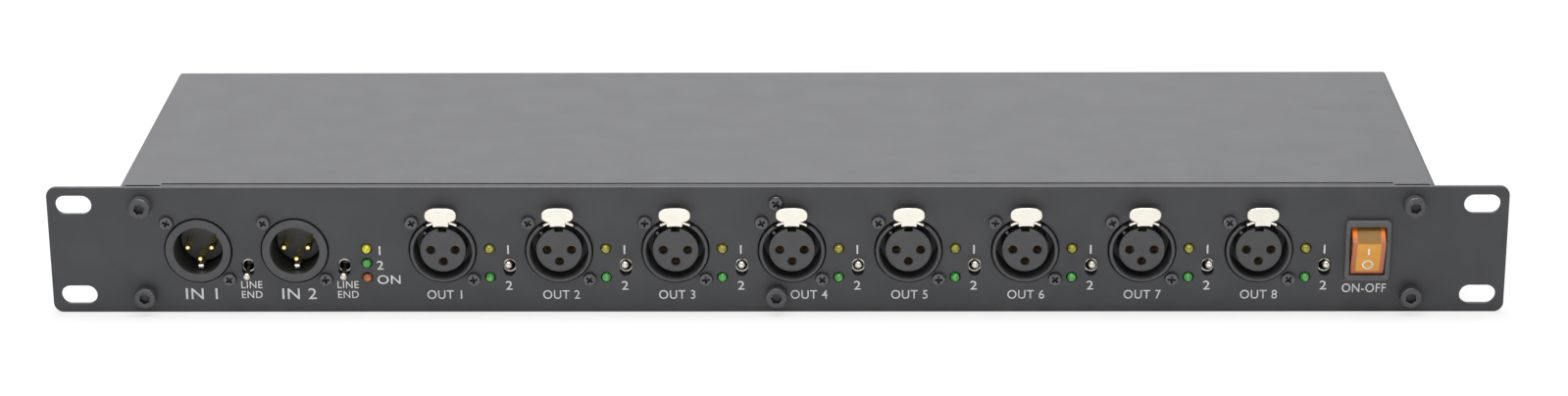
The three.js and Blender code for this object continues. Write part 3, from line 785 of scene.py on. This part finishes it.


# Painted shade: a darker finish laid on the walls and floors of hollows and recesses, where shade falls.
hollow_shade = moulded("hollow_shade", (0.032, 0.032, 0.031), (0.042, 0.042, 0.041), (0.5, 0.6))
bolt_steel = metal(
    "bolt_steel", (0.052, 0.053, 0.057), (0.070, 0.071, 0.076), (0.26, 0.34), metallic=0.3,
)
screw_steel = metal(
    "screw_steel", (0.075, 0.075, 0.078), (0.11, 0.11, 0.115), (0.2, 0.3), metallic=0.8,
)
bolt_head, bolt_height, bolt_shank, bolt_reach = 3.5 * mm, 4.3 * mm, 1.9 * mm, 11.7 * mm
bolt_profile = [(0, bolt_height)] + quarter_round(bolt_head, bolt_height, 0.45 * mm)
bolt_profile += [(bolt_head, 0), (bolt_shank, 0), (bolt_shank, -bolt_reach), (0, -bolt_reach)]
hexagon_radius, hexagon_depth = 1.9 * mm, 2.2 * mm
hexagon = rod(hexagon_radius, 2 * hexagon_depth, 6)
rotate(hexagon, math.pi / 2, "X")
bmesh.ops.translate(hexagon, verts=hexagon.verts, vec=(0, -bolt_height, 0))
ridges, ridge_share = 36, 0.95
blank = turned(bolt_profile, 2 * ridges)
rim = [vert for vert in blank.verts if math.hypot(vert.co.x, vert.co.z) > bolt_head - 0.02 * mm]
knurl = [
    vert for vert in rim if round(math.atan2(vert.co.z, vert.co.x) / math.pi * ridges) % 2
]
bmesh.ops.scale(blank, verts=knurl, vec=(ridge_share, 1, ridge_share))
bolt = carved(blank, hexagon)
# Painted shade: the hexagon recess and the knurled side of the head get the darker hollow finish.
line_hollow(bolt, hexagon_radius + 0.05 * mm, (bolt_height - hexagon_depth, bolt_height - 0.1 * mm), 1)
for side in bolt.faces:
    spot = side.calc_center_median()
    if math.hypot(spot.x, spot.z) > ridge_share * bolt_head and -spot.y < bolt_height - 0.5 * mm:
        side.material_index = 1
for number in range(1, 6):
    turned_bolt = bolt.copy()
    rotate(turned_bolt, math.radians(23 * number), "Y")
    node = f"panel_bolt_{number}"
    add_piece(
        f"cap_bolt_{number}", turned_bolt, [bolt_steel, hollow_shade],
        at=middle_of(node), stands_for=[node],
    )


def cross_head(radius, height, shank, reach):
    """A flat pan head with painted shade in its cross recess, on its shank."""
    dome = [(0, 1), (0.80, 0.985), (0.91, 0.91), (0.97, 0.72), (1, 0.4), (1, 0.12), (0.97, 0)]
    profile = [(radius * share, height * rise) for share, rise in dome]
    profile += [(shank, 0), (shank, -reach), (0, -reach)]
    blade_reach, blade_half = 0.64 * radius, 0.17 * radius
    blade_heights = (-0.3 * height, 1.3 * height)
    blades = []
    for turn in (0, math.pi / 2):
        blade = box(about(0, blade_reach), blade_heights, about(0, blade_half))
        deep = [vert for vert in blade.verts if -vert.co.y < 0.5 * height]
        bmesh.ops.scale(blade, verts=deep, vec=(0.45, 1, 0.7))
        rotate(blade, turn, "Y")
        blades.append(blade)
    head = carved(turned(profile, 40), *blades)
    # Painted shade in the cross recess.
    line_hollow(head, 0.68 * radius, (-0.35 * height, 0.93 * height), 1)
    return head


def turned_to(shape, degrees, at=(0, 0)):
    """A copy that is turned about its own axis and then moved across the panel."""
    copy = shape.copy()
    matrix = Matrix.Translation((at[0], 0, at[1])) @ Matrix.Rotation(math.radians(degrees), 4, "Y")
    bmesh.ops.transform(copy, matrix=matrix, verts=copy.verts)
    return copy


middle_screw = cross_head(2.5 * mm, 1.5 * mm, 1.4 * mm, 9 * mm)
add_piece(
    "middle_screw", turned_to(middle_screw, 38), [screw_steel, hollow_shade],
    at=middle_of("panel_screw"), stands_for=["panel_screw"],
)


# Output sockets
# Each is a black moulded socket fixed from the front by two cross-head screws. A round shell
# stands a little proud of the panel, open at the top for the latch. Inside it, behind a deep
# groove, sits a carrier with three gilt contacts in their holes and a notch for the plug's key.
block_back, block_front, shell_back = -23 * mm, -3.4 * mm, -22.9 * mm


def socket_block(clear):
    """The square block behind the panel, with its corners cut and a hole for the shell."""
    half, flat = 12.3 * mm, 10.3 * mm
    outline = [
        (half, -flat), (half, flat), (flat, half), (-flat, half),
        (-half, flat), (-half, -flat), (-flat, -half), (flat, -half),
    ]
    return cut_plate(outline, [circle(0, 0, clear, 64)], block_back, block_front, 0.3 * mm)


def add_screws(name, turns, at):
    """The two cross-head screws of a socket, each at its own turn."""
    screws = [(turned_to(socket_screw, turn, spot), None) for turn, spot in zip(turns, screw_places)]
    add_piece(name, together(*screws), [screw_steel, hollow_shade], at=at)


socket_black = moulded("socket_black", (0.044, 0.044, 0.048), (0.054, 0.054, 0.058), (0.3, 0.42))
gilt = metal("gilt", (0.96, 0.76, 0.30), (1.0, 0.85, 0.40), (0.2, 0.3))
# Painted shade: a tone of its own for the walls of the shell's groove and the contact holes, set to how
# dark they look in shade.
groove_shade = moulded("groove_shade", (0.075, 0.075, 0.076), (0.09, 0.09, 0.091), (0.5, 0.6))
# Painted shade: a darker copy of the gilt for the contact sleeves deep in their holes.
shaded_gilt = metal("shaded_gilt", (0.50, 0.37, 0.16), (0.64, 0.48, 0.22), (0.4, 0.5))
contact_circle = 4.05 * mm
contact_places = [(-contact_circle, 0), (contact_circle, 0), (0, -contact_circle)]
groove = 9.75 * mm
shell_front, groove_back = 1.2 * mm, -11 * mm
shell_profile = [(0, groove_back), (groove, groove_back), (groove, 0.8 * mm), (9.85 * mm, 1.08 * mm)]
shell_profile += [(10.1 * mm, shell_front)] + quarter_round(socket_radius, shell_front, 0.5 * mm)
shell_profile += [(socket_radius, shell_back), (0, shell_back)]
latch_gap = box(about(0, 6.6 * mm), (-12.2 * mm, 3 * mm), (8.5 * mm, 11.1 * mm))
shell = carved(turned(shell_profile, 96), latch_gap)
# Painted shade in the groove.
line_hollow(shell, groove + 0.05 * mm, (groove_back, 0.2 * mm), 2)
carrier_radius, carrier_front = 7.65 * mm, -0.3 * mm
carrier_back = groove_back - 0.2 * mm
carrier_profile = [(0, carrier_front)]
carrier_profile += quarter_round(carrier_radius, carrier_front, 0.25 * mm, steps=3)
carrier_profile += [(carrier_radius, carrier_back), (0, carrier_back)]
hole_radius, hole_back = 1.4 * mm, -8.3 * mm
hole_profile = [(0, mm), (1.6 * mm, mm), (1.6 * mm, -0.3 * mm), (hole_radius, -0.55 * mm)]
hole_profile += [(hole_radius, hole_back), (0, hole_back)]
holes = [turned(hole_profile, 32, x, z) for x, z in contact_places]
key_notch = box(about(0, 1.45 * mm), (-11 * mm, mm), (6.4 * mm, 8 * mm))
carrier = carved(turned(carrier_profile, 80), *holes, key_notch)
# Painted shade in the contact holes.
for x, z in contact_places:
    line_hollow(carrier, hole_radius + 0.05 * mm, (hole_back, -0.8 * mm), 2, x, z)
spur = ease(box(about(0, 0.5 * mm), (-4 * mm, -0.9 * mm), (7.4 * mm, 8.8 * mm)), 0.15 * mm)
sleeve_outer, sleeve_inner, sleeve_front, sleeve_back = 1.34 * mm, 1.0 * mm, -3 * mm, -8.2 * mm
sleeve_lip = (1.1 * mm, -2.8 * mm)
sleeve_profile = [
    sleeve_lip, (sleeve_outer, sleeve_front), (sleeve_outer, sleeve_back),
    (sleeve_inner, sleeve_back), (sleeve_inner, sleeve_front), sleeve_lip,
]
socket_screw = cross_head(2.3 * mm, 1.6 * mm, 1.3 * mm, 4 * mm)
screw_places = [(-10 * mm, 10 * mm), (10 * mm, -10 * mm)]
for number, at in enumerate(outputs, 1):
    node = f"output_socket_{number}"
    parts = [(shell.copy(), None), (carrier.copy(), None), (socket_block(socket_radius), 0)]
    parts.append((turned_to(spur, -46), 0))
    parts += [(turned(sleeve_profile, 24, x, z), 1) for x, z in contact_places]
    add_piece(
        f"output_shell_{number}", together(*parts), [socket_black, shaded_gilt, groove_shade],
        at=at, stands_for=[node],
    )
    add_screws(f"output_screws_{number}", (61 * number, 35 + 47 * number), at)


# Latch tabs
# Each is one bright nickel strip: a curved tongue that slides in the shell's top gap, a neck,
# and a flat oval plate that the thumb presses, its faces smooth and its edge rounded.
def arc_outline(inner, outer, half_angle, steps=12):
    """A curved strip at the top of a ring, as far as an angle to each side."""
    turns = [math.radians(half_angle) * (1 - 2 * i / steps) for i in range(steps + 1)]
    outline = [(inner * math.sin(turn), inner * math.cos(turn)) for turn in turns]
    outline += [(outer * math.sin(turn), outer * math.cos(turn)) for turn in reversed(turns)]
    return outline[::-1]


latch_nickel = metal(
    "latch_nickel", (0.652, 0.622, 0.555), (0.682, 0.652, 0.585), (0.3, 0.36), depth=0.001 * mm,
)
tongue_outer, tongue_inner = 10.8 * mm, 10.1 * mm
plate_front, plate_back = 4.6 * mm, 3.9 * mm
plate_half, plate_foot, plate_top = 5.2 * mm, 11.3 * mm, 16.3 * mm
plate_squareness = 0.72
plate_outline = []
for i in range(56):
    turn = math.pi * (-0.5 + (i + 0.5) / 28)
    across, up = (
        math.copysign(abs(part) ** plate_squareness, part) for part in (math.cos(turn), math.sin(turn))
    )
    plate_outline.append((
        plate_half * across, (plate_foot + plate_top) / 2 + (plate_top - plate_foot) / 2 * up,
    ))
neck_half, neck_top = 2.55 * mm, 13 * mm
neck_outline = [
    (neck_half, tongue_inner), (neck_half, neck_top),
    (-neck_half, neck_top), (-neck_half, tongue_inner),
]
for number, (x, z) in enumerate(outputs, 1):
    node = f"latch_tab_{number}"
    plate = cut_plate(plate_outline, [], plate_back, plate_front, 0.22 * mm, 3)
    neck = cut_plate(neck_outline, [], plate_back + 0.02 * mm, plate_front - 0.02 * mm, 0.1 * mm)
    stem = cut_plate(arc_outline(tongue_inner, tongue_outer, 13.5), [], mm, plate_front - 0.1 * mm)
    tongue = cut_plate(arc_outline(tongue_inner, tongue_outer, 28), [], -9 * mm, 1.6 * mm)
    add_piece(
        f"latch_{number}", together((plate, 0), (neck, 0), (stem, 0), (tongue, 0)), [latch_nickel],
        at=(middle_of(node)[0], z), body=node, stands_for=[node],
    )


# Input sockets
# The same block and screws, with a flat black collar round an open cavity. On the cavity's
# floor stands a carrier with three gilt pins and, below them, a small bright earth tab.
cavity, cavity_back = 8.2 * mm, -14.8 * mm
collar, collar_front = 10.9 * mm, 0.8 * mm
collar_profile = [(0, cavity_back), (cavity, cavity_back), (cavity, 0.65 * mm)]
collar_profile += [(8.35 * mm, collar_front)]
collar_profile += quarter_round(collar, collar_front, 0.3 * mm, steps=3)
collar_profile += [(collar, shell_back), (0, shell_back)]
plug_key = box(about(0, 0.65 * mm), (cavity_back + mm, 2 * mm), (7.5 * mm, 8.75 * mm))
input_shell = carved(turned(collar_profile, 96), turned_to(plug_key, 44))
# Painted shade: the cavity's walls get the darker hollow finish.
line_hollow(input_shell, cavity + 0.7 * mm, (cavity_back, 0.5 * mm), 1)
pin_radius, pin_back = 1.2 * mm, -11.5 * mm
pin_profile = [(0, -2.2 * mm), (0.5 * mm, -2.28 * mm), (0.88 * mm, -2.6 * mm), (1.12 * mm, -3.1 * mm)]
pin_profile += [(pin_radius, -3.7 * mm), (pin_radius, pin_back), (0, pin_back)]
floor_radius, floor_front, floor_back = 7.6 * mm, -11 * mm, -14.5 * mm
floor_profile = [(0, floor_front), *quarter_round(floor_radius, floor_front, 0.3 * mm, steps=3)]
floor_profile += [(floor_radius, floor_back), (0, floor_back)]
for letter, at, turns in zip("ab", inputs, ((20, 52), (215, 83))):
    node = f"input_socket_{letter}"
    parts = together((input_shell.copy(), None), (socket_block(collar), 0))
    add_piece(
        f"input_shell_{letter}", parts, [socket_black, hollow_shade],
        at=at, stands_for=[node],
    )
    add_screws(f"input_screws_{letter}", turns, at)
    node = f"input_insert_{letter}"
    earth_tab = box(about(0, 0.85 * mm), (-12 * mm, -3.5 * mm), (-7.7 * mm, -6.2 * mm))
    # The carrier on the cavity's floor is in the darker hollow finish, as painted shade.
    parts = [(turned(floor_profile, 48), 0), (ease(earth_tab, 0.15 * mm), 2)]
    parts += [(turned(pin_profile, 32, x, z), 1) for x, z in contact_places]
    add_piece(
        f"input_carrier_{letter}", together(*parts), [hollow_shade, gilt, nickel],
        at=at, stands_for=[node],
    )


# Toggle switches
# Miniature switches whose threaded nickel bush ends behind the panel. A chromed lever comes out
# through the panel's slot, and its drop-shaped tip stands up at the outputs, down at the inputs.
# The lever's profile gives radius and distance from its pivot in millimetres.
bush_radius, bush_front, bore, bore_back = 2.5 * mm, -2.1 * mm, 1.75 * mm, -8.2 * mm
bush_profile = [(0, bore_back), (bore, bore_back), (bore, bush_front - 0.2 * mm)]
bush_profile += [(bore + 0.12 * mm, bush_front), (bush_radius - 0.2 * mm, bush_front)]
thread_pitch, thread_depth = 0.45 * mm, 0.2 * mm
for i in range(9):
    crest = bush_front - 0.25 * mm - thread_pitch * i
    bush_profile += [(bush_radius, crest), (bush_radius - thread_depth, crest - thread_pitch / 2)]
bush_profile += [(bush_radius, bore_back - 0.3 * mm), (0, bore_back - 0.3 * mm)]
lever_profile = [
    (0, 9.4), (0.5, 9.32), (0.95, 9.05), (1.27, 8.6), (1.4, 8.03), (1.37, 7.5), (1.24, 6.9), (1.04, 6.1),
    (0.88, 5.2), (0.77, 4.4), (0.75, 1.1), (1.0, 0.75), (1.15, 0), (1.0, -0.7), (0.6, -1.1),
    (0.6, -2.4), (0, -2.4),
]
lever_profile = [(radius * mm, out * mm) for radius, out in lever_profile]
chrome = metal("lever_chrome", (0.50, 0.46, 0.41), (0.58, 0.53, 0.48), (0.1, 0.18))
# Painted shade: the bush is nickel darkened for the shade it lies in behind the panel.
shaded_bush_nickel = metal("shaded_bush_nickel", (0.42, 0.40, 0.36), (0.52, 0.50, 0.46), (0.25, 0.35))
tilt, pivot = math.radians(15), 4.56 * mm
case = ease(box(about(0, 3.1 * mm), (-15.4 * mm, -6.4 * mm), about(0, 6 * mm)), 0.3 * mm)
case_bore, case_mouth = 2 * mm, -6 * mm
case_bore_profile = [(0, bore_back), (case_bore, bore_back), (case_bore, case_mouth), (0, case_mouth)]
case = carved(case, turned(case_bore_profile, 32))
names = [f"route_{{}}_{number}" for number in range(1, 9)] + ["termination_{}_a", "termination_{}_b"]
for name, at in zip(names, toggles):
    foot = ease(box(about(0, 2.1 * mm), (-23 * mm, -15.2 * mm), about(0, 4.5 * mm)), 0.2 * mm)
    node = name.format("switch")
    add_piece(
        name.format("body"), together((turned(bush_profile, 40), 0), (case.copy(), 1), (foot, 1)),
        [shaded_bush_nickel, black_plastic], at=at, stands_for=[node],
    )
    lever = turned(lever_profile, 40)
    lean = -tilt if name.startswith("route") else tilt
    rotate(lever, lean, "X")
    bmesh.ops.translate(lever, verts=lever.verts, vec=(0, pivot, 0))
    node = name.format("lever")
    add_piece(
        name.format("bat"), lever, [chrome], at=at, body=node, stands_for=[node],
    )


# Mains rocker
# A black frame is snapped into its window in the panel, and a clear orange rocker tips in it
# on two side pins. Behind its face shows a paler plate with the two marks of a mains switch.
def lens_plastic():
    """Clear orange, with the plate behind its two faces, a painted glow that grows upwards and is
    brightest at the top corners, and painted shade on the slope above the ridge.
    """
    material, shader, place = start_material("orange_lens")
    spot = add_node(material, "ShaderNodeSeparateXYZ", {"Vector": place})

    def step(axis, start, end):
        node = add_node(material, "ShaderNodeMapRange", {
            "Value": spot.outputs[axis], "From Min": start, "From Max": end,
        }, interpolation_type="SMOOTHSTEP")
        return node.outputs["Result"]

    def times(one, other):
        return add_node(material, "ShaderNodeMath", {0: one, 1: other}, operation="MULTIPLY").outputs[0]

    left, right = about(rocker_place[0], plate_side)
    soft = 0.15 * mm
    plate_start, ridge_start, corner_start = 14.7 * mm, 25.6 * mm, 26.2 * mm
    across = times(step("X", left - soft, left + soft), step("X", right + soft, right - soft))
    plate = times(across, step("Z", plate_start, plate_start + 0.3 * mm))
    # Painted shade on the plate's top slope above the ridge.
    top_shade = times(across, step("Z", ridge_start, ridge_start + 0.2 * mm))
    # Painted glow: the margins lighten upwards and the top corners turn bright orange.
    corner = step("Z", corner_start, corner_start + 2.2 * mm)
    height, low, high = spot.outputs["Z"], 14 * mm, 26 * mm
    painted_glow = shades(material, height, (0.38, 0.115, 0.044), (0.45, 0.135, 0.05), low, high)
    painted_corner_glow = blended(material, corner, painted_glow, (0.84, 0.19, 0.002, 1))
    cloud = grain(material, place, 6 * mm)
    legend = shades(material, cloud, (0.64, 0.26, 0.014), (0.72, 0.32, 0.024))
    base = blended(material, plate, painted_corner_glow, legend)
    base = blended(material, top_shade, base, (0.25, 0.11, 0.001, 1))
    wire(
        material, shader, base_color=base, coat_weight=0.1, coat_roughness=0.05,
        roughness=level(material, grain(material, place, 2 * mm), 0.16, 0.24),
    )
    roughen(material, shader, grain(material, place, 4 * mm), 0.02 * mm)
    return material


rocker_window = rounded(0, -0.1 * mm, 11.6 * mm, 16.7 * mm, 0.4 * mm, 4)
frame_outline = rounded(0, 0, 15 * mm, 21 * mm, 1.4 * mm)
frame_out, well_back, foot_back = 1.8 * mm, -10 * mm, -16 * mm
rocker_frame = cut_plate(frame_outline, [rocker_window], 0, frame_out, 0.45 * mm, 4)
well_outline = rounded(0, 0, 12.9 * mm, 18.9 * mm, 0.4 * mm, 4)
rocker_well = cut_plate(well_outline, [rocker_window], well_back, 0, 0.05 * mm)
rocker_foot = box(about(0, 6.45 * mm), (foot_back, well_back), about(0, 9.45 * mm))
ease(rocker_foot, 0.3 * mm)
frame_parts = [(rocker_frame, 0), (rocker_well, 0), (rocker_foot, 0)]
for z in (-6 * mm, 0, 6 * mm):
    blade = box(about(0, 2.4 * mm), (-23 * mm, -15.5 * mm), about(z, 0.4 * mm))
    frame_parts.append((ease(blade, 0.15 * mm), 1))
frame_plastic = moulded("frame_plastic", (0.070, 0.070, 0.073), (0.082, 0.082, 0.086), (0.3, 0.4))
add_piece(
    "rocker_frame", together(*frame_parts), [frame_plastic, nickel],
    at=rocker_place, stands_for=["power_switch_frame"],
)

plate_side = 3.9 * mm
lens_half = 5.5 * mm
ridge_out, ridge_z, low_out, low_z = 5 * mm, 3.7 * mm, 1 * mm, -8.3 * mm
lens_side = [
    (low_out, low_z), (-2.5 * mm, -8.2 * mm), (-6 * mm, -4 * mm), (-6 * mm, 4 * mm),
    (-2.5 * mm, 7.95 * mm), (0.5 * mm, 8 * mm), (ridge_out, ridge_z),
]
lens = bmesh.new()
lens_verts = [lens.verts.new((-lens_half, -out, z)) for out, z in lens_side]
lens_face = lens.faces.new(lens_verts)
pushed = bmesh.ops.extrude_face_region(lens, geom=[lens_face])["geom"]
moved = [part for part in pushed if isinstance(part, bmesh.types.BMVert)]
bmesh.ops.translate(lens, verts=moved, vec=(2 * lens_half, 0, 0))
bmesh.ops.recalc_face_normals(lens, faces=lens.faces)
ease(lens, 0.35 * mm, 3)
orange_lens = lens_plastic()
lens_pin = rod(0.9 * mm, 12.2 * mm)
rotate(lens_pin, math.pi / 2, "Y")
bmesh.ops.translate(lens_pin, verts=lens_pin.verts, vec=(0, mm, 0))
add_piece(
    "rocker_lens", together((lens, 0), (lens_pin, 0)), [orange_lens],
    at=rocker_place, body="power_rocker", stands_for=["power_rocker"],
)

slope_turn = math.atan2(ridge_out - low_out, ridge_z - low_z)
for name, z, outline, inner in (
    ("mark_rocker_on", 0.6 * mm, rounded(0, 0, 0.62 * mm, 2.6 * mm, 0.1 * mm, 2), []),
    ("mark_rocker_off", -4.6 * mm, circle(0, 0, 1.85 * mm), [circle(0, 0, 1.35 * mm)]),
):
    out = low_out + (z - low_z) * math.tan(slope_turn)
    mark = cut_plate(outline, inner, -0.02 * mm, 0.03 * mm, 0.005 * mm, 0)
    rotate(mark, slope_turn, "X")
    bmesh.ops.translate(mark, verts=mark.verts, vec=(0, -out, z))
    add_piece(name, mark, [ink], at=rocker_place, body="power_rocker")


# Top cover
# One folded steel sheet, coated like the rest, covers the top and both sides. Its top edge
# stops behind the tray's fold and reaches further at the corners, and its sides run to the panel.
cover_low, cover_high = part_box("top_cover")
cover_half, cover_top, sheet = cover_high.x, cover_high.z, 1.2 * mm
bend, inner_bend = 1.3 * mm, 0.25 * mm


def bent(x, z, radius, start, steps=6):
    """A quarter turn of a bend, from the angle where it starts."""
    turns = [math.radians(start + 90 * i / steps) for i in range(steps + 1)]
    return [(x + radius * math.cos(turn), z + radius * math.sin(turn)) for turn in turns]


outer_x, outer_z = cover_half - bend, cover_top - bend
inner_x, inner_z = cover_half - sheet - inner_bend, cover_top - sheet - inner_bend
cover_outline = [(cover_half, 0), *bent(outer_x, outer_z, bend, 0), *bent(-outer_x, outer_z, bend, 90)]
cover_outline += [(-cover_half, 0), (sheet - cover_half, 0)]
cover_outline += bent(-inner_x, inner_z, inner_bend, 90, 3)[::-1]
cover_outline += bent(inner_x, inner_z, inner_bend, 0, 3)[::-1]
cover_outline += [(cover_half - sheet, 0)]
cover_sheet = cut_plate(cover_outline, [], face - cover_high.y, face - cover_low.y, 0.15 * mm)
fold_cut = box(about(0, 203.4 * mm), (-4.3 * mm, 0), (41.6 * mm, 46 * mm))
corner_cut = box(about(0, 215.2 * mm), (-2.6 * mm, 0.5 * mm), (41.4 * mm, 46.2 * mm))
cover_sheet = carved(cover_sheet, fold_cut, corner_cut)
add_piece("cover_sheet", cover_sheet, [case_paint], at=(0, 0), stands_for=["top_cover"])


# Cover screws
# Four cross-head screws of blacked steel, two in each side, hold the cover to the tray's low
# flanges. Their heads stand out of the sides, and each is left at a turn of its own.
cover_screw = cross_head(2.75 * mm, 1.7 * mm, 1.4 * mm, 4.6 * mm)
for number in range(1, 5):
    node = f"cover_screw_{number}"
    low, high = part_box(node)
    side = math.copysign(1, low.x)
    screw = turned_to(cover_screw, 30 * number)
    rotate(screw, side * math.pi / 2, "Z")
    spot = (side * cover_half, (low.y + high.y) / 2, (low.z + high.z) / 2)
    bmesh.ops.translate(screw, verts=screw.verts, vec=spot)
    add_piece(
        f"side_screw_{number}", screw, [screw_steel, hollow_shade], stands_for=[node],
    )
